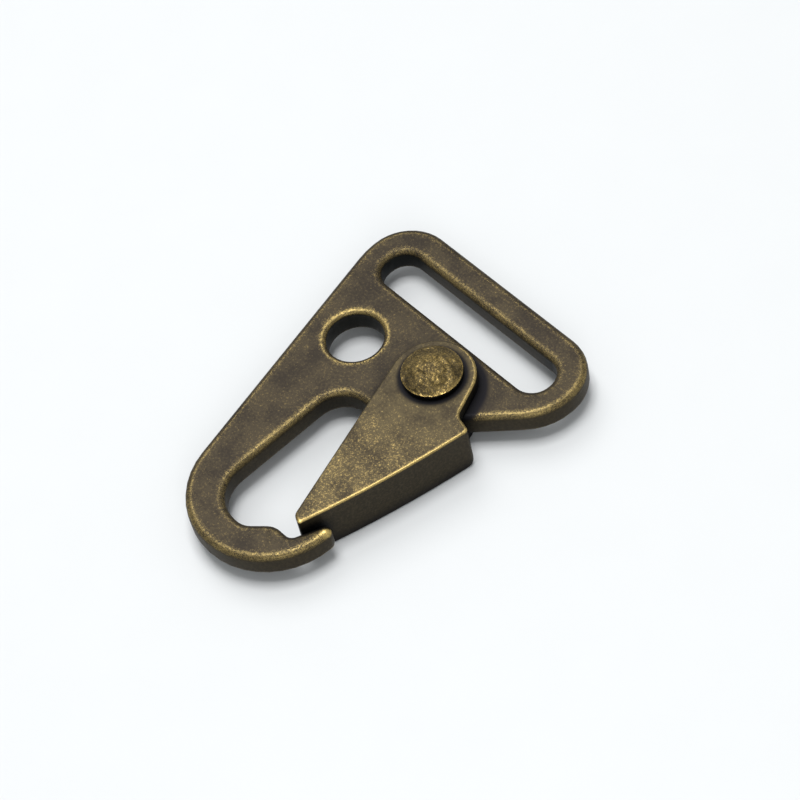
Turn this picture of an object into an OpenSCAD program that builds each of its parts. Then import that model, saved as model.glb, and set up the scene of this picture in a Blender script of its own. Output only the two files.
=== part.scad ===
// Snap hook for flat webbing: a cast hook plate, a folded gate, a domed rivet and a small torsion spring.
// The origin is the middle of the webbing slot in plan, on the face that the hook lies on. +Y points away
// from the hook, +Z is up through the plate, and all sizes are in millimetres.

/* [Hook plate] */
// Thickness of the cast plate
plate_t = 3; // [2.4:0.1:4]
// Rounding of the plate's edges
edge_r = 0.7; // [0.3:0.05:0.7]
// Radius of the two corners beside the slot
corner_r = 5.3; // [4:0.1:6]
// Lean of the long straight side away from the hook's axis, in degrees
side_lean = 13.35; // [12:0.05:15]
// Distance from the slot's middle to the bend where the long side starts to lean
bend_y = 0.85; // [0.5:0.05:1.5]
// Radius of that bend
bend_r = 10; // [6:0.5:12]
// Distance from the slot's middle to the end of the short side
shoulder_y = 2.7; // [2.2:0.1:3.2]
// Radius of the shoulder at the end of the short side
shoulder_r = 7; // [5:0.5:8]
// Distance from the rivet to the lug that fills the gate's wide end, toward the hook
lug_y = 2; // [1.5:0.1:2.4]

/* [Webbing slot] */
// Length of the slot, for the width of the webbing
slot_l = 25.6; // [24:0.1:26]
// Width of the slot
slot_w = 4.8; // [4:0.1:5.4]
// Radius at the slot's ends
slot_end_r = 2.3; // [1.5:0.1:2.4]
// Width of the bar beyond the slot
bar_w = 3.5; // [2.8:0.1:4.5]
// Width of the plate at each end of the slot
side_w = 3; // [2.6:0.1:4]

/* [Round hole] */
// Diameter of the round hole
hole_d = 6.4; // [5:0.1:7]
// Distance of the hole from the slot's middle, along the slot
hole_x = 7.6; // [7:0.1:8.2]
// Distance of the hole from the slot's middle, toward the hook
hole_y = 9.6; // [8.5:0.1:10.5]
// Rounding of the hole's two mouths
hole_edge_r = 0.5; // [0.2:0.05:0.7]

/* [Hook] */
// Radius of the hook's round outer end
hook_r = 9.2; // [9:0.05:9.4]
// Distance from the slot's middle to the end of the hook
hook_reach = 37.8; // [37.4:0.1:39]
// Width of the beak at its tip
beak_w = 1.35; // [1.33:0.01:1.5]
// Height of the beak's tip over the end of the hook
beak_h = 10.05; // [9.9:0.05:10.3]
// Run of the beak's slanted inner face
beak_run = 1.5; // [1.3:0.1:1.7]
// Thickness of the hook at its end
hook_w = 4; // [3.4:0.1:4.3]
// Distance of the opening's long wall from the hook's outer corner, along the slot
arm_w = 3.05; // [2.6:0.05:3.4]
// Distance from the slot's middle to the top of the opening
throat_y = 14.7; // [14:0.1:15.5]
// Radius of the opening's lower corner, where a ring or strap lies
seat_r = 4.4; // [3.6:0.1:4.4]
// Radius of the opening's corner by the long wall's top
throat_r = 3.4; // [2.6:0.1:3.8]
// Width of the opening at its top
throat_w = 9; // [8.6:0.1:9.4]
// Radius of the opening's smaller corners
bend_in_r = 2.3; // [1.8:0.1:2.5]
// Rise of the notch over the bottom of the opening
notch_h = 2.3; // [1.8:0.1:2.6]
// Length of the notch's flat
notch_l = 2.45; // [2.2:0.05:2.7]
// Run of the slope from the notch down to the bottom of the opening
notch_run = 2.55; // [2.3:0.05:2.8]

/* [Rivet] */
// Distance of the rivet from the beak's inner face, along the slot
pivot_x = 4.54; // [4.34:0.02:4.74]
// Distance of the rivet from the slot's middle, toward the hook
pivot_y = 8.1; // [7.9:0.05:8.3]
// Diameter of the rivet's shank
shank_d = 3.2; // [2.8:0.1:3.4]
// Diameter of the domed head
head_d = 6.7; // [5.8:0.1:7]
// Height of the domed head
head_h = 1.75; // [1.2:0.05:2.2]
// Diameter of the countersunk tail
tail_d = 5.2; // [4.6:0.1:5.6]
// Running clearance between the rivet and the gate
run_gap = 0.06; // [0.03:0.01:0.1]

/* [Gate] */
// Thickness of the gate's two cheeks
cheek_t = 1.4; // [1.1:0.05:1.6]
// Thickness of the folded wall that joins the cheeks
fold_t = 1.15; // [0.9:0.05:1.4]
// Gap between each cheek and the plate
side_gap = 0.15; // [0.1:0.01:0.3]
// Radius of the round boss at the rivet
boss_r = 4.7; // [4.4:0.05:4.9]
// Rise of the folded wall's long curve over a straight line
fold_rise = 0.7; // [0.5:0.05:1]
// Clearance between the gate's nose and the notch
nose_gap = 1.2; // [0.8:0.05:1.8]
// Clearance between the gate's nose and the beak's inner face
beak_gap = 1.1; // [0.8:0.05:1.6]
// Width of the nose's blunt end
nose_w = 1.2; // [1.1:0.05:1.6]
// Distance of the thumb corner from the rivet, along the slot
thumb_x = 8.1; // [7.6:0.05:8.6]
// Distance of the thumb corner from the rivet, toward the hook
thumb_y = 2.25; // [1.9:0.05:2.7]
// Distance of the neck's bend from the rivet, toward the hook
neck_y = 1.7; // [1.4:0.05:1.9]
// Rounding of the gate's edges
gate_edge_r = 0.25; // [0.1:0.05:0.28]
// Radius of the folded wall's lower corner at the thumb end
heel_r = 1.5; // [1:0.1:1.8]

/* [Spring] */
// Diameter of the spring's wire
wire_d = 0.4; // [0.3:0.05:0.45]
// Full turns of the coil round the rivet
turns = 2; // [1:1:2]
// Gap between the spring and what lies round it
spring_gap = 0.1; // [0.08:0.01:0.15]
// Width of the spring's coil, from the middle of the wire
coil_d = 4.4; // [4.2:0.1:5]
// Direction of the leg that pushes the folded wall, in degrees
push_angle = -48; // [-50:1:-46]
// Direction of the leg that leans on the plate, in degrees
lean_angle = -88; // [-92:1:-84]

/* [Hidden] */
// Which piece to draw
over = 0.4;
arc_step = 9;
round_steps = 3;
plate_z = cheek_t + side_gap;
plate_top = plate_z + plate_t;
gate_h = plate_t + 2 * (cheek_t + side_gap);
end_flat = 0.15;
half_w = slot_l / 2 + side_w;
bar_y = slot_w / 2 + bar_w;
pitch = 1.08 * wire_d;
coil_sweep = 360 * turns + 180 + lean_angle - push_angle;
coil_h = pitch * coil_sweep / 360 + wire_d;
recess_r = (coil_d + wire_d) / 2 + spring_gap;
recess_h = coil_h + 2 * spring_gap;

// The plate's main lines, from the slot down to the hook.
seat_y = -hook_reach + hook_w;
notch_y = seat_y + notch_h;
beak_y = -hook_reach + beak_h;
hook_left = -half_w + (hook_reach - bend_y) * tan(side_lean);
beak_x = hook_left + hook_r * (1 + tan(45 - side_lean / 2)) + end_flat;
beak_in = beak_x - beak_w;
notch_end = beak_in - beak_run - notch_l;
tip_r = edge_r + 0.1;
throat_x = hook_left + arm_w;
pivot = [beak_in - pivot_x, -pivot_y];

// The plate's corners in order, each as [x, y, radius], counter-clockwise and seen from above.
plate_corners = [
    [half_w, bar_y, corner_r],
    [-half_w, bar_y, corner_r],
    [-half_w, -bend_y, bend_r],
    [hook_left, -hook_reach, hook_r],
    [beak_x, -hook_reach, hook_r],
    [beak_x, beak_y, tip_r],
    [beak_in, beak_y, tip_r],
    [beak_in - beak_run, notch_y, 0.6 * beak_run],
    [notch_end, notch_y, bend_in_r],
    [notch_end - notch_run, seat_y, bend_in_r],
    [throat_x, seat_y, seat_r],
    [throat_x, -throat_y, throat_r],
    [throat_x + throat_w, -throat_y, bend_in_r],
    [pivot.x + boss_r, pivot.y - lug_y, bend_in_r],
    [half_w, -shoulder_y, shoulder_r]
];

// The slot's corners.
slot_corners = [for (s = [[1, 1], [-1, 1], [-1, -1], [1, -1]])
    [s.x * slot_l / 2, s.y * slot_w / 2, slot_end_r]];

// The gate's boss, nose, thumb corner and long fold, and the corners that they give.
nose = [beak_in - beak_gap, notch_y + nose_gap];
nose_back = nose + [-nose_w, cheek_t / 3];
tip_off = nose_back - pivot;
boss_lean = atan2(tip_off.x, -tip_off.y) + asin(boss_r / norm(tip_off));
neck_lean = 22.6;
boss_top = pivot.y + boss_r;
boss_left = pivot.x - boss_r / cos(boss_lean) - boss_r * tan(boss_lean);
boss_right = pivot.x + boss_r / cos(neck_lean) - boss_r * tan(neck_lean);
thumb = pivot + [thumb_x, -thumb_y];
fold_half = norm(thumb - nose) / 2;
fold_mid = (nose + thumb) / 2 + fold_rise / 2 / fold_half * [thumb.y - nose.y, nose.x - thumb.x];
fold_r = 0.87 * fold_half * fold_half / fold_rise;
gate_corners = [
    [boss_right, boss_top, boss_r],
    [boss_left, boss_top, boss_r],
    [nose_back.x, nose_back.y, 0.8 * nose_w],
    [nose.x, nose.y, gate_edge_r + 0.05],
    [fold_mid.x, fold_mid.y, fold_r],
    [thumb.x, thumb.y, 2 * gate_edge_r + 0.1],
    [boss_right + (boss_r + neck_y) * tan(neck_lean), pivot.y - neck_y, fold_t]
];

// Centre of the fold's long curve.
fold_centre = corner_centre(nose, fold_mid, thumb, fold_r);

// The spring's two legs: one ends short of the folded wall's inner face, the other inside its bay.
bay_depth = boss_r - 2 * side_gap;
push_foot = coil_d / 2 * direction(push_angle + 90);
to_centre = fold_centre - pivot - push_foot;
along_push = to_centre * direction(push_angle);
wall_r = fold_r - fold_t - spring_gap - wire_d;
push_l = along_push + sqrt(along_push * along_push - to_centre * to_centre + wall_r * wall_r);
lean_l = bay_depth - 1.5 * wire_d;

function unit(v) = v / norm(v);

function flat(v) = [v.x, v.y];

function direction(angle) = [cos(angle), sin(angle)];

function half_angle(a, v, b) = acos(unit(a - v) * unit(b - v)) / 2;

function corner_centre(a, v, b, r) = v + unit(unit(a - v) + unit(b - v)) * r / sin(half_angle(a, v, b));

// One rounded corner between the corners a and b, moved inward by inset.
function corner_arc(a, v, b, r, inset) =
    let (
        along = unit(v - a),
        turn = cross(v - a, b - v) > 0 ? 1 : -1,
        sweep = 180 - 2 * half_angle(a, v, b),
        steps = max(2, ceil(sweep / arc_step), ceil(r * sweep / 140)),
        first = atan2(-turn * along.x, turn * along.y),
        centre = corner_centre(a, v, b, r)
    )
    [for (k = [0 : steps])
        let (t = first + turn * sweep * k / steps)
        centre + (r - turn * inset) * [cos(t), sin(t)]];

// A closed outline with every corner rounded, moved inward by inset.
function outline(corners, inset = 0) =
    let (n = len(corners))
    [for (i = [0 : n - 1])
        let (a = corners[(i + n - 1) % n], v = corners[i], b = corners[(i + 1) % n])
        each corner_arc(flat(a), flat(v), flat(b), v[2], inset)];

// The waste beside a rounded edge at height h, as a closed band along an outline.
// With side = 1 the solid lies inside the outline, and with side = -1 outside it, as round a slot.
module edge_waste(corners, h, r, side) {
    curve = [for (k = [0 : round_steps])
        let (t = 90 * k / round_steps)
        [side * (r - r * cos(t)), h - r + r * sin(t)]];
    section = concat(curve, [[side * r, h + over], [-side * over, h + over], [-side * over, h - r]]);
    rings = [for (p = section) [for (q = outline(corners, p.x)) [q.x, q.y, p.y]]];
    n = len(rings[0]);
    m = len(rings);
    quads = [for (j = [0 : m - 1], i = [0 : n - 1])
        let (up = (j + 1) % m, next = (i + 1) % n)
        side < 0
            ? [j * n + i, up * n + i, up * n + next, j * n + next]
            : [j * n + next, up * n + next, up * n + i, j * n + i]];
    polyhedron([for (r = rings) each r], quads, convexity = 10);
}

// Both of a plate's faces, upper and lower.
module both_faces(h) {
    for (face = [0, 1])
        translate([0, 0, face * h]) mirror([0, 0, face]) children();
}

// A plate with its outer edges rounded at both faces.
module rounded_plate(corners, h, r) {
    difference() {
        linear_extrude(h) polygon(outline(corners));
        both_faces(h) edge_waste(corners, h, r, 1);
    }
}

// A wire through a list of points, drawn as one closed skin.
module wire(path, d) {
    sides = 10;
    n = len(path);
    rings = [for (i = [0 : n - 1])
        let (
            along = unit(path[min(i + 1, n - 1)] - path[max(i - 1, 0)]),
            across = unit(cross(along, [0, 0, 1])),
            up = cross(across, along)
        )
        [for (k = [0 : sides - 1])
            let (t = 360 * k / sides)
            path[i] + d / 2 * (cos(t) * across + sin(t) * up)]];
    skin = [for (i = [0 : n - 2], k = [0 : sides - 1])
        let (next = (k + 1) % sides)
        [i * sides + k, (i + 1) * sides + k, (i + 1) * sides + next, i * sides + next]];
    first = [for (k = [0 : sides - 1]) k];
    last = [for (k = [sides - 1 : -1 : 0]) (n - 1) * sides + k];
    polyhedron([for (r = rings) each r], concat([first], skin, [last]), convexity = 10);
}

// What a slot with rounded mouths takes away.
module mouthed_slot(corners, h, r) {
    translate([0, 0, -over]) linear_extrude(h + 2 * over) polygon(outline(corners));
    both_faces(h) edge_waste(corners, h, r, -1);
}

module at_pivot(z = 0) {
    translate([pivot.x, pivot.y, z]) children();
}

// What a round hole with rounded mouths takes away.
module mouthed_hole(r, e, h) {
    translate([0, 0, -over]) cylinder(r = r, h = h + 2 * over, $fn = 96);
    both_faces(h) rotate_extrude($fn = 96) difference() {
        translate([r - over, h - e]) square([e + over, e + over]);
        translate([r + e, h - e]) circle(r = e, $fn = 48);
    }
}

// The recess in the plate's lower face: a round seat for the coil and a bay where the two legs swing.
module spring_recess() {
    first = push_angle + 90;
    sweep = lean_angle + 270 - first;
    steps = ceil(sweep / arc_step);
    seat = [for (k = [0 : steps]) recess_r * direction(first + sweep * k / steps)];
    corner = seat[0];
    side = seat[steps];
    bay = [
        side - (side.y + bay_depth) / sin(lean_angle) * direction(lean_angle),
        corner - (corner.y + bay_depth) / sin(push_angle) * direction(push_angle)
    ];
    at_pivot(plate_z - over) linear_extrude(recess_h + over) polygon(concat(seat, bay));
}

module hook_plate() {
    color("#5b4f38") difference() {
        translate([0, 0, plate_z]) rounded_plate(plate_corners, plate_t, edge_r);
        translate([0, 0, plate_z]) mouthed_slot(slot_corners, plate_t, edge_r);
        translate([-hole_x, -hole_y, plate_z]) mouthed_hole(hole_d / 2, hole_edge_r, plate_t);
        at_pivot(plate_z - over) cylinder(d = shank_d, h = plate_t + 2 * over, $fn = 72);
        spring_recess();
    }
}

// The domed head stands on a narrower neck, so that its rim clears the cheek.
module rivet() {
    neck = head_h / 4;
    rim = head_h / 6;
    crown = head_h - neck - rim;
    dome_r = (head_d * head_d / 4 + crown * crown) / (2 * crown);
    tail_h = (tail_d - shank_d) / 2;
    color("#7d6a3c") at_pivot() {
        cylinder(d1 = tail_d, d2 = shank_d, h = tail_h, $fn = 72);
        cylinder(d = shank_d, h = gate_h + 2 * run_gap, $fn = 72);
        translate([0, 0, gate_h + run_gap]) {
            cylinder(d1 = 0.8 * head_d, d2 = head_d, h = neck, $fn = 96);
            translate([0, 0, neck]) cylinder(d = head_d, h = rim, $fn = 96);
            translate([0, 0, neck + rim]) intersection() {
                translate([0, 0, crown - dome_r]) sphere(r = dome_r, $fn = 96);
                cylinder(d = head_d, h = crown, $fn = 96);
            }
        }
    }
}

// The gate is one folded piece: two cheeks and the wall between them.
module gate() {
    tail_h = (tail_d - shank_d) / 2;
    color("#6b5d3e") difference() {
        rounded_plate(gate_corners, gate_h, gate_edge_r);
        intersection() {
            translate([fold_centre.x, fold_centre.y, cheek_t])
                cylinder(r = fold_r - fold_t, h = plate_t + 2 * side_gap, $fn = 720);
            translate([pivot.x - 3 * boss_r, nose.y - boss_r, 0])
                cube([6 * boss_r, boss_top - nose.y + 2 * boss_r, gate_h]);
        }
        at_pivot(-over) cylinder(r = shank_d / 2 + run_gap, h = gate_h + 2 * over, $fn = 72);
        at_pivot() cylinder(d1 = tail_d + 2 * run_gap, d2 = shank_d + 2 * run_gap, h = tail_h, $fn = 72);
        at_pivot(-over) cylinder(d = tail_d + 2 * run_gap, h = over, $fn = 72);
        gate_heel();
    }
}

// What the rounded lower corner at the thumb end takes away, seen along the fold.
module gate_heel() {
    lean = atan2(thumb.x - fold_mid.x, thumb.y - fold_mid.y);
    translate([thumb.x, thumb.y, 0]) rotate([0, 0, -lean]) difference() {
        translate([-2 * fold_t, -heel_r, -over]) cube([4 * fold_t, 2 * heel_r, heel_r + over]);
        translate([-3 * fold_t, -heel_r, heel_r]) rotate([0, 90, 0]) cylinder(r = heel_r, h = 6 * fold_t, $fn = 72);
    }
}

// A torsion spring round the rivet: a leg to the folded wall, the coil, and a leg against the plate.
module spring() {
    z0 = spring_gap + wire_d / 2;
    z1 = z0 + pitch * coil_sweep / 360;
    steps = 14 * turns + 8;
    coil = [for (k = [0 : steps])
        let (p = coil_d / 2 * direction(push_angle + 90 + coil_sweep * k / steps))
        [p.x, p.y, z0 + (z1 - z0) * k / steps]];
    push_end = push_foot + push_l * direction(push_angle);
    lean_end = flat(coil[steps]) + lean_l * direction(lean_angle);
    color("#8a8a86") at_pivot(plate_z)
        wire(concat([[push_end.x, push_end.y, z0]], coil, [[lean_end.x, lean_end.y, z1]]), wire_d);
}

hook_plate();
rivet();
gate();
spring();
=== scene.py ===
# Looks of the snap hook for flat webbing: antique brass worn bright along its edges, on a white table.
# All places are in metres in the part's own frame, whose origin is the middle of the webbing slot.

import math

import bpy
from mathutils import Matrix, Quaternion, Vector


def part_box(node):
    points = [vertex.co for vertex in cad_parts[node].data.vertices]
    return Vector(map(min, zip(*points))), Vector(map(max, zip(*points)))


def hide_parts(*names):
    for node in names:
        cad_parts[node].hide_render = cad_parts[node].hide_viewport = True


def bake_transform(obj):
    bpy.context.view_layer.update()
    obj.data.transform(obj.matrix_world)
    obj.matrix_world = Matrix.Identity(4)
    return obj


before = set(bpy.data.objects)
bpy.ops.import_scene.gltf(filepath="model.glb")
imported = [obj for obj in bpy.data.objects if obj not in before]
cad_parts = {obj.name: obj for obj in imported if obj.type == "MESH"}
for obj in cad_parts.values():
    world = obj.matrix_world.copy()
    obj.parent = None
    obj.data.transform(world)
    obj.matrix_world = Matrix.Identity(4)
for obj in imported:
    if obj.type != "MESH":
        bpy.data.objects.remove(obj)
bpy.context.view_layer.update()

MM = 0.001

# The camera stands over the hook's open side and looks down at it.
AIM = Vector((2.44, -12.01, 4.55)) * MM
CAMERA_DISTANCE = 350.1 * MM
CAMERA_ELEVATION = math.radians(53.11)
CAMERA_BEARING = math.radians(-30.52)
CAMERA_ROLL = math.radians(-14.4)
LENS = 148.5
SENSOR = 36.0
CLIP_START = 0.01
CLIP_END = 10

# Each soft light's place, the side of its square in metres, and its power in watts.
LIGHTS = {
    "key": (Vector((-0.42, 0.14, 0.6)), 0.4, 1.4),
    "front": (Vector((0.42, -0.26, 0.36)), 0.25, 0.6),
    "top": (Vector((-0.05, 0.02, 0.8)), 0.35, 4.65),
}
SKY_COLOUR = (0.96, 0.99, 1.0, 1.0)
SKY_STRENGTH = 0.38

# The white table, wide enough for its edges to stay out of sight.
TABLE_SIDE = 3.0
TABLE_GRAIN = 8 * MM
TABLE_ROUGHNESS = 0.55

# Sizes of the features in the patina's pattern.
SPECKLE_SIZE = 0.14 * MM
GRAIN_SIZE = 0.3 * MM
CLOUD_SIZE = 3.0 * MM
DENT_SIZE = 1.5 * MM

# How much each part of the pattern adds to the wear, and what the two special zones take from it: the
# ring of painted shadow and dark patina, and the calm zone.
SPECKLE_WEAR = 0.66
GRAIN_WEAR = 0.34
CLOUD_WEAR = 0.05
SHADOW_AND_PATINA_RING_WEAR = 0.22
CALM_WEAR = 0.065

# The summed wear at which brass starts to show and at which it is bare, on a piece that isn't rubbed.
WEAR_START = 0.7
WEAR_END = 0.94

# The side the camera looks from, where edges are brightest with painted highlight on their wear, and the
# share of that edge wear and highlight that is left on the far side.
CAMERA_SIDE = Vector((0.86, -0.51, 0))
FAR_SIDE_EDGE_SHARE = 0.14

# How far round a point its own piece's walls paint shade on it, and how far any piece or the table does.
ENCLOSED_REACH = 5 * MM
HOLLOW_REACH = 2.4 * MM

# How dark the ring of painted shadow and dark patina is, and how much grain shows in the clouds of brown.
SHADOW_AND_PATINA_RING_STRENGTH = 0.96
CLOUD_GRAIN = 0.7

# The range over which each mask goes from nothing to full.
EDGE_RANGE = (0.98, 0.63)  # how open an edge is, seen from inside the metal
CAMERA_SIDE_RANGE = (-0.5, 0.1)  # how far an edge turns to the camera's side, for painted highlight
CLOUD_RANGE = (0.3, 0.7)  # cloud that adds to the wear
CROWN_RANGE = (0.9, 1.0)  # how level a face is where its crown is worn and given painted highlight
BODY_RANGE = (0.6, 1.0)  # cloud and grain that turn oxide to body brown
SHINE_RANGE = (0.4, 1.0)  # edge wear and painted highlight that turn brass to its shine
WALL_RANGE = (0.35, 0.7)  # grain that lightens a side wall
ENCLOSED_RANGE = (0.82, 1.0)  # how open a side wall is to the walls of its own piece, for painted shade
FACE_RANGE = (0.1, 0.65)  # how level a surface is between side wall and face
HOLLOW_RANGE = (0.45, 0.98)  # how open a surface is to everything near it, for painted shade
DENT_RANGE = (0.35, 0.65)  # noise that makes the hammer marks
STREAK_RANGE = (0.3, 0.7)  # noise that makes the streaks on the wire

# The metal's gloss: dull where the oxide stands, and smoother where brass shows.
METALLIC = 0.7
SPECULAR = 0.25
OXIDE_ROUGHNESS = 0.56
BRASS_ROUGHNESS = 0.38

# The depth of the patina's fine relief, which is half speckle and half grain, and how strongly it and the
# hammer marks show.
RELIEF_DEPTH = 0.02 * MM
RELIEF_SHARE = 0.5
RELIEF_STRENGTH = 0.4
DENT_STRENGTH = 0.8

# Middle of the gate's nose across the hook, where the handled side of the gate starts, and how far the
# change from one side to the other is blurred.
NOSE_X = 6.6 * MM
HELD_BLUR = 0.5 * MM

# The painted shadow on the plate lies on the gate's shaded side: its middle stands off the rivet's by this.
PLATE_SHADOW_OFFSET = Vector((0.8, -0.3, 0)) * MM

# How far a dark ring stays full and how far it reaches: painted shadow on the plate past the gate's boss,
# and painted shadow with dark patina on the gate past the rivet's head.
PLATE_SHADOW_CORE = 0.4 * MM
PLATE_SHADOW_REACH = 1.05 * MM
GATE_RING_CORE = 0.25 * MM
GATE_RING_REACH = 0.8 * MM

# How many times the boss's radius the zone of weaker wear on the gate reaches.
CALM_SPAN = 2.4

# The streaks on the spring's wire, and its roughness between and on them.
STREAK_SIZE = 0.12 * MM
STREAK_ROUGHNESS = (0.28, 0.42)

# Edges that bend by more than this stay sharp, and points closer than this are joined.
SHARP_ANGLE = math.radians(40)
WELD_DISTANCE = 0.001 * MM

# The colour inputs and the colour output of a mix node, whose other kinds have sockets of the same names.
MIX_FIRST = 6
MIX_SECOND = 7
MIX_RESULT = 2


def linear(red, green, blue):
    """An sRGB colour from 0 to 255 as a shader's colour."""
    parts = [c / 255 for c in (red, green, blue)]
    lifted = [c / 12.92 if c <= 0.04045 else ((c + 0.055) / 1.055) ** 2.4 for c in parts]
    return (*lifted, 1.0)


# Oxide, body, brass and shine of each brass piece, from the darkest patina to the most worn edge; the
# shine is worn brass with painted highlight.
PLATE_COLOURS = (linear(54, 48, 41), linear(71, 63, 50), linear(132, 114, 72), linear(222, 194, 118))
GATE_COLOURS = (linear(67, 59, 46), linear(90, 80, 59), linear(167, 144, 90), linear(255, 224, 138))
RIVET_COLOURS = (linear(64, 55, 37), linear(88, 76, 48), linear(168, 142, 82), linear(186, 158, 94))

# Colours that all brass pieces share.
WALL_DARK = linear(47, 41, 29)
WALL_LIGHT = linear(62, 54, 38)
# Painted shade on side walls that their own piece closes in.
ENCLOSED_SHADE = linear(5, 12, 12)
# Painted shade where pieces meet and where the hook comes close to the table.
HOLLOW_SHADE = linear(11, 11, 14)
# Painted shadow in the dark rings, with dark patina as well in the gate's ring.
SHADOW_AND_PATINA_RING_DARK = linear(25, 24, 29)

STEEL_DARK = linear(120, 120, 116)
STEEL_LIGHT = linear(165, 164, 158)
TABLE_DARK = linear(217, 219, 220)
TABLE_LIGHT = linear(219, 221, 222)


class Nodes:
    """Short calls that add nodes to one material and join them."""

    def __init__(self, name):
        self.material = bpy.data.materials.new(name)
        self.material.use_nodes = True
        self.tree = self.material.node_tree
        self.shader = self.tree.nodes["Principled BSDF"]
        self.place = self.tree.nodes.new("ShaderNodeTexCoord").outputs["Object"]

    def add(self, kind, **settings):
        """A new node of that kind with those settings."""
        node = self.tree.nodes.new(kind)
        for key, value in settings.items():
            setattr(node, key, value)
        return node

    def join(self, source, target):
        """Joins a node's output to another node's input."""
        self.tree.links.new(source, target)

    def fill(self, socket, value):
        """Gives a socket a fixed number or colour, or joins it to another node's output."""
        if isinstance(value, (int, float, tuple)):
            socket.default_value = value
        else:
            self.join(value, socket)

    def noise(self, size, detail=2.0, roughness=0.5):
        """Noise with features of about that size in metres."""
        node = self.add("ShaderNodeTexNoise")
        self.join(self.place, node.inputs["Vector"])
        node.inputs["Scale"].default_value = 1 / size
        node.inputs["Detail"].default_value = detail
        node.inputs["Roughness"].default_value = roughness
        return node.outputs["Fac"]

    def spread(self, value, low, high, to_low=0.0, to_high=1.0):
        """The value stretched from low..high to to_low..to_high, without overshoot."""
        node = self.add("ShaderNodeMapRange", interpolation_type="SMOOTHSTEP")
        self.join(value, node.inputs["Value"])
        node.inputs["From Min"].default_value = low
        node.inputs["From Max"].default_value = high
        node.inputs["To Min"].default_value = to_low
        node.inputs["To Max"].default_value = to_high
        return node.outputs["Result"]

    def math(self, operation, *values):
        """The result of a sum on one to three values, kept from 0 to 1."""
        node = self.add("ShaderNodeMath", operation=operation, use_clamp=True)
        for socket, value in zip(node.inputs, values):
            self.fill(socket, value)
        return node.outputs["Value"]

    def mix(self, amount, first, second):
        """The first colour where the amount is 0, and the second where it is 1."""
        node = self.add("ShaderNodeMix", data_type="RGBA")
        self.join(amount, node.inputs["Factor"])
        self.fill(node.inputs[MIX_FIRST], first)
        self.fill(node.inputs[MIX_SECOND], second)
        return node.outputs[MIX_RESULT]

    def crevice(self, reach, inside=False, local=False):
        """How open a point is within that reach: 1 on a free face and 0 deep in a corner."""
        node = self.add("ShaderNodeAmbientOcclusion", inside=inside, only_local=local, samples=12)
        node.inputs["Distance"].default_value = reach
        return node.outputs["AO"]

    def near(self, place, core, reach, amount):
        """That amount within the core round an upright line, and nothing past the reach."""
        flat = self.add("ShaderNodeVectorMath", operation="MULTIPLY")
        self.join(self.place, flat.inputs[0])
        flat.inputs[1].default_value = (1, 1, 0)
        away = self.add("ShaderNodeVectorMath", operation="DISTANCE")
        self.join(flat.outputs["Vector"], away.inputs[0])
        away.inputs[1].default_value = (place.x, place.y, 0)
        return self.spread(away.outputs["Value"], core, reach, amount, 0.0)

    def beyond(self, start, end, blur):
        """1 on the left of a line on the plan, seen from its start, and 0 on its right, blurred that far."""
        along = (end - start).normalized()
        across = self.add("ShaderNodeVectorMath", operation="DOT_PRODUCT")
        self.join(self.place, across.inputs[0])
        across.inputs[1].default_value = (-along.y, along.x, 0)
        middle = along.x * start.y - along.y * start.x
        return self.spread(across.outputs["Value"], middle - blur, middle + blur)

    def turned(self, direction):
        """How far the surface turns to that level direction: 1 straight to it, -1 straight away."""
        towards = self.add("ShaderNodeVectorMath", operation="DOT_PRODUCT")
        self.join(self.add("ShaderNodeTexCoord").outputs["Normal"], towards.inputs[0])
        towards.inputs[1].default_value = direction
        return towards.outputs["Value"]

    def bump(self, height, distance, strength, normal=None):
        """The surface's direction over that relief, on top of another one if given."""
        node = self.add("ShaderNodeBump")
        node.inputs["Strength"].default_value = strength
        node.inputs["Distance"].default_value = distance
        self.join(height, node.inputs["Height"])
        if normal:
            self.join(normal, node.inputs["Normal"])
        return node.outputs["Normal"]

    def facing_up(self):
        """The upright part of the surface's direction, from 0 on a side wall to 1 on a level face."""
        split = self.add("ShaderNodeSeparateXYZ")
        self.join(self.add("ShaderNodeNewGeometry").outputs["Normal"], split.inputs[0])
        return self.math("ABSOLUTE", split.outputs["Z"])


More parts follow.
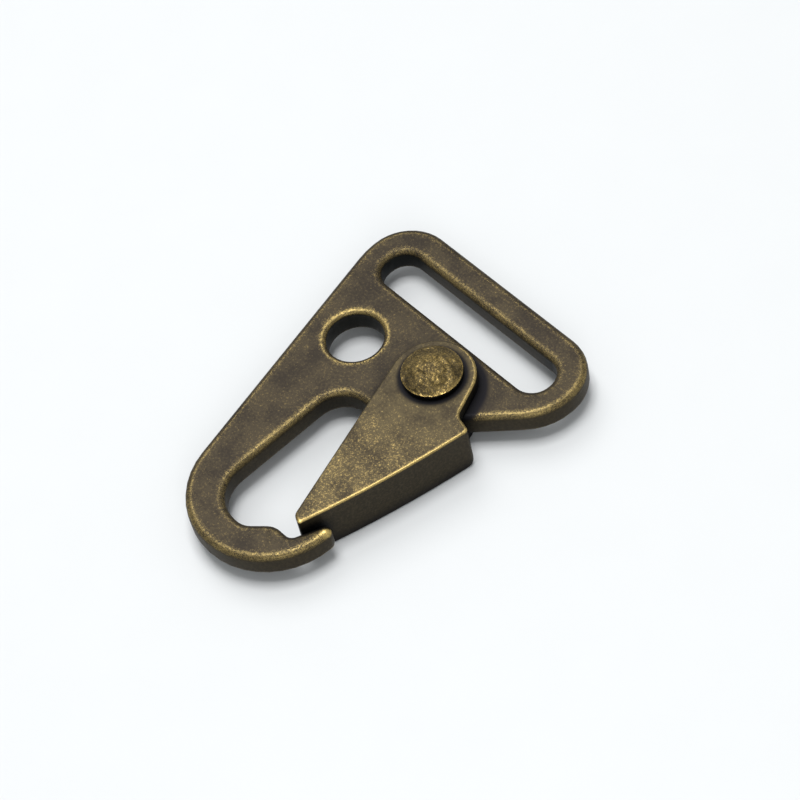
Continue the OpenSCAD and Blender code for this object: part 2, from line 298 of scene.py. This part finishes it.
class Patina(Nodes):
    """Antique brass: speckled brown oxide, bright brass edges with painted highlight, painted shade in
    hollows.
    """

    def __init__(self, name):
        super().__init__(name)
        self.speckle = self.noise(SPECKLE_SIZE, detail=2.0, roughness=0.7)
        self.grain = self.noise(GRAIN_SIZE, detail=3.0, roughness=0.65)
        self.cloud = self.noise(CLOUD_SIZE, detail=2.0, roughness=0.5)
        self.level = self.facing_up()

    def edge_wear_and_highlight_mask(self, reach, held):
        """How worn an edge is, brightest with painted highlight on the camera's side, and nothing off the
        handled side.
        """
        edge = self.spread(self.crevice(reach, inside=True, local=True), *EDGE_RANGE)
        if held:
            edge = self.math("MULTIPLY", edge, self.beyond(*held))
        camera_side_share = self.spread(self.turned(CAMERA_SIDE), *CAMERA_SIDE_RANGE, FAR_SIDE_EDGE_SHARE)
        return self.math("MULTIPLY", edge, camera_side_share)

    def worn(self, edge, rub, edge_wear_and_highlight, crown_wear_and_highlight, shadow_and_patina_ring, calm):
        """How far the oxide is worn off, speck by speck, from 0 to 1, raised by the painted highlight on
        edges and crown and lowered in the ring of painted shadow and dark patina.
        """
        grain = self.math("MULTIPLY", self.grain, GRAIN_WEAR)
        worn = self.math("MULTIPLY_ADD", self.speckle, SPECKLE_WEAR, grain)
        worn = self.math("MULTIPLY_ADD", edge, edge_wear_and_highlight, worn)
        worn = self.math("MULTIPLY_ADD", self.spread(self.cloud, *CLOUD_RANGE), CLOUD_WEAR, worn)
        worn = self.math("MULTIPLY_ADD", self.spread(self.level, *CROWN_RANGE), crown_wear_and_highlight, worn)
        if shadow_and_patina_ring:
            worn = self.math("SUBTRACT", worn, self.near(*shadow_and_patina_ring, SHADOW_AND_PATINA_RING_WEAR))
        if calm:
            worn = self.math("SUBTRACT", worn, self.near(*calm, CALM_WEAR))
        return self.spread(worn, WEAR_START - rub, WEAR_END - rub)

    def face_colour(self, worn, edge, colours, shadow_and_patina_ring):
        """Brown oxide in clouds, with brass where it is worn off, the brightest brass with painted highlight
        on the edges, and the ring of painted shadow and dark patina.
        """
        oxide, body, brass, shine = colours
        clouds = self.math("ADD", self.cloud, self.math("MULTIPLY", self.grain, CLOUD_GRAIN))
        ground = self.mix(self.spread(clouds, *BODY_RANGE), oxide, body)
        gold = self.mix(self.spread(edge, *SHINE_RANGE), brass, shine)
        face = self.mix(worn, ground, gold)
        if shadow_and_patina_ring:
            face = self.mix(self.near(*shadow_and_patina_ring, SHADOW_AND_PATINA_RING_STRENGTH), face, SHADOW_AND_PATINA_RING_DARK)
        return face

    def with_walls(self, face):
        """The face's colour, turning to unworn oxide on side walls and to near black painted shade where
        they close in.
        """
        enclosed = self.crevice(ENCLOSED_REACH, local=True)
        wall = self.mix(self.spread(self.grain, *WALL_RANGE), WALL_DARK, WALL_LIGHT)
        wall = self.mix(self.spread(enclosed, *ENCLOSED_RANGE), ENCLOSED_SHADE, wall)
        return self.mix(self.spread(self.level, *FACE_RANGE), wall, face)

    def with_hollow_shade(self, colour):
        """The colour, with painted shade where pieces meet and where the hook comes close to the table."""
        hollow = self.crevice(HOLLOW_REACH)
        return self.mix(self.spread(hollow, *HOLLOW_RANGE), HOLLOW_SHADE, colour)

    def relief(self, dents):
        """The surface's direction over the fine relief of the oxide, and over hammer marks of that depth."""
        grain = self.math("MULTIPLY", self.grain, RELIEF_SHARE)
        height = self.math("MULTIPLY_ADD", self.speckle, RELIEF_SHARE, grain)
        skin = self.bump(height, RELIEF_DEPTH, RELIEF_STRENGTH)
        if dents:
            marks = self.spread(self.noise(DENT_SIZE, detail=1.0), *DENT_RANGE)
            skin = self.bump(marks, dents, DENT_STRENGTH, skin)
        return skin


def patina(name, colours, rub, edge_reach, edge_wear_and_highlight, crown_wear_and_highlight=0.0, shadow_and_patina_ring=None, calm=None, held=None,
           dents=0.0):
    """The antique brass of one piece.

    colours are its oxide, body, brass and shine, the shine being worn brass with painted highlight. rub is
    how far the faces are worn. edge_reach is how far an edge's wear reaches, edge_wear_and_highlight what an
    edge adds to the wear and painted highlight, and crown_wear_and_highlight what a level face adds to both.
    shadow_and_patina_ring is a ring of painted shadow and dark patina and calm a zone of weaker wear, each a
    place, its core and its reach. held is the line that parts the handled side from the other, with its
    blur.
    dents is the depth of the hammer marks.
    """
    brass = Patina(name)
    edge = brass.edge_wear_and_highlight_mask(edge_reach, held)
    worn = brass.worn(edge, rub, edge_wear_and_highlight, crown_wear_and_highlight, shadow_and_patina_ring, calm)
    face = brass.face_colour(worn, edge, colours, shadow_and_patina_ring)
    inputs = brass.shader.inputs
    brass.join(brass.with_hollow_shade(brass.with_walls(face)), inputs["Base Color"])
    brass.join(brass.spread(worn, 0.0, 1.0, OXIDE_ROUGHNESS, BRASS_ROUGHNESS), inputs["Roughness"])
    brass.join(brass.relief(dents), inputs["Normal"])
    inputs["Metallic"].default_value = METALLIC
    inputs["Specular IOR Level"].default_value = SPECULAR
    return brass.material


def wire_steel():
    """Drawn spring wire: fine streaks and a grey sheen."""
    wire = Nodes("spring_wire")
    streak = wire.noise(STREAK_SIZE)
    wire.join(wire.mix(streak, STEEL_DARK, STEEL_LIGHT), wire.shader.inputs["Base Color"])
    wire.join(wire.spread(streak, *STREAK_RANGE, *STREAK_ROUGHNESS), wire.shader.inputs["Roughness"])
    wire.shader.inputs["Metallic"].default_value = 1.0
    return wire.material


def smooth_edges():
    """Modifier nodes that join a mesh's points and shade it smoothly, except over sharp edges."""
    tree = bpy.data.node_groups.new("smooth_edges", "GeometryNodeTree")
    tree.interface.new_socket("Geometry", in_out="INPUT", socket_type="NodeSocketGeometry")
    tree.interface.new_socket("Geometry", in_out="OUTPUT", socket_type="NodeSocketGeometry")
    start = tree.nodes.new("NodeGroupInput")
    weld = tree.nodes.new("GeometryNodeMergeByDistance")
    weld.inputs["Distance"].default_value = WELD_DISTANCE
    faces = tree.nodes.new("GeometryNodeSetShadeSmooth")
    edges = tree.nodes.new("GeometryNodeSetShadeSmooth")
    edges.domain = "EDGE"
    edges.inputs["Shade Smooth"].default_value = False
    angle = tree.nodes.new("GeometryNodeInputMeshEdgeAngle")
    sharp = tree.nodes.new("FunctionNodeCompare")
    sharp.inputs["B"].default_value = SHARP_ANGLE
    end = tree.nodes.new("NodeGroupOutput")
    tree.links.new(start.outputs[0], weld.inputs["Geometry"])
    tree.links.new(weld.outputs["Geometry"], faces.inputs["Geometry"])
    tree.links.new(faces.outputs["Geometry"], edges.inputs["Geometry"])
    tree.links.new(angle.outputs["Unsigned Angle"], sharp.inputs["A"])
    tree.links.new(sharp.outputs["Result"], edges.inputs["Selection"])
    tree.links.new(edges.outputs["Geometry"], end.inputs[0])
    return tree


def dress(piece, material):
    """Gives a piece its material, with smooth shading over its rounded edges."""
    piece.data.materials.clear()
    piece.data.materials.append(material)
    piece.modifiers.new("smooth_edges", "NODES").node_group = smoothing
    piece.modifiers.new("flat_faces", "WEIGHTED_NORMAL").keep_sharp = True


def winding_spring():
    """The torsion spring copied in place as its own piece, with the part's spring hidden: its pushing leg
    follows the folded wall.
    """
    piece = bpy.data.objects.new("torsion_spring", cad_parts["spring"].data.copy())
    bpy.context.collection.objects.link(piece)
    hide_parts("spring")
    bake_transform(piece)
    return piece


def table_top():
    """A white table top with a faint grain."""
    bpy.ops.mesh.primitive_plane_add(size=TABLE_SIDE, location=(0, 0, 0))
    floor = bpy.context.object
    floor.name = "table_top"
    white = Nodes("white_table")
    colour = white.mix(white.noise(TABLE_GRAIN), TABLE_DARK, TABLE_LIGHT)
    white.join(colour, white.shader.inputs["Base Color"])
    white.shader.inputs["Roughness"].default_value = TABLE_ROUGHNESS
    floor.data.materials.append(white.material)


def camera():
    """The photograph's view of the hook, through a long lens."""
    bearing = Vector((math.cos(CAMERA_BEARING), math.sin(CAMERA_BEARING), 0))
    back = bearing * math.cos(CAMERA_ELEVATION) + Vector((0, 0, math.sin(CAMERA_ELEVATION)))
    data = bpy.data.cameras.new("camera")
    data.lens = LENS
    data.sensor_width = SENSOR
    data.clip_start = CLIP_START
    data.clip_end = CLIP_END
    eye = bpy.data.objects.new("camera", data)
    bpy.context.collection.objects.link(eye)
    eye.location = AIM + back * CAMERA_DISTANCE
    eye.rotation_mode = "QUATERNION"
    eye.rotation_quaternion = (-back).to_track_quat("-Z", "Y") @ Quaternion((0, 0, 1), CAMERA_ROLL)
    bpy.context.scene.camera = eye


def softbox(name, place, size, power):
    """A square soft light that faces the hook."""
    data = bpy.data.lights.new(name, "AREA")
    data.size = size
    data.energy = power
    lamp = bpy.data.objects.new(name, data)
    bpy.context.collection.objects.link(lamp)
    lamp.location = place
    lamp.rotation_mode = "QUATERNION"
    lamp.rotation_quaternion = (AIM - lamp.location).to_track_quat("-Z", "Y")


def studio():
    """A white light tent with a strong light overhead, one behind the hook and a faint one in front."""
    scene = bpy.context.scene
    scene.view_settings.view_transform = "Standard"
    scene.world = bpy.data.worlds.new("studio")
    scene.world.use_nodes = True
    sky = scene.world.node_tree.nodes["Background"].inputs
    sky["Color"].default_value = SKY_COLOUR
    sky["Strength"].default_value = SKY_STRENGTH
    for name, (place, size, power) in LIGHTS.items():
        softbox(name, place, size, power)


smoothing = smooth_edges()
rivet_low, rivet_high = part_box("rivet")
rivet_axis = (rivet_low + rivet_high) / 2
head_r = (rivet_high.x - rivet_low.x) / 2
boss_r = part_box("gate")[1].y - rivet_axis.y
nose = Vector((NOSE_X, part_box("gate")[0].y, 0))
dress(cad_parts["hook_plate"], patina(
    "cast_plate", PLATE_COLOURS, rub=0.13, edge_reach=1.3 * MM, edge_wear_and_highlight=0.26,
    shadow_and_patina_ring=(rivet_axis + PLATE_SHADOW_OFFSET, boss_r + PLATE_SHADOW_CORE, boss_r + PLATE_SHADOW_REACH)))
dress(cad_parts["gate"], patina(
    "gate_metal", GATE_COLOURS, rub=0.19, edge_reach=0.45 * MM, edge_wear_and_highlight=0.55,
    shadow_and_patina_ring=(rivet_axis, head_r + GATE_RING_CORE, head_r + GATE_RING_REACH),
    calm=(rivet_axis, boss_r, CALM_SPAN * boss_r),
    held=(rivet_axis, nose, HELD_BLUR)))
dress(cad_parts["rivet"], patina(
    "rivet_metal", RIVET_COLOURS, rub=0.2, edge_reach=0.5 * MM, edge_wear_and_highlight=0.1,
    crown_wear_and_highlight=0.03, dents=0.35 * MM))
dress(winding_spring(), wire_steel())
table_top()
camera()
studio()
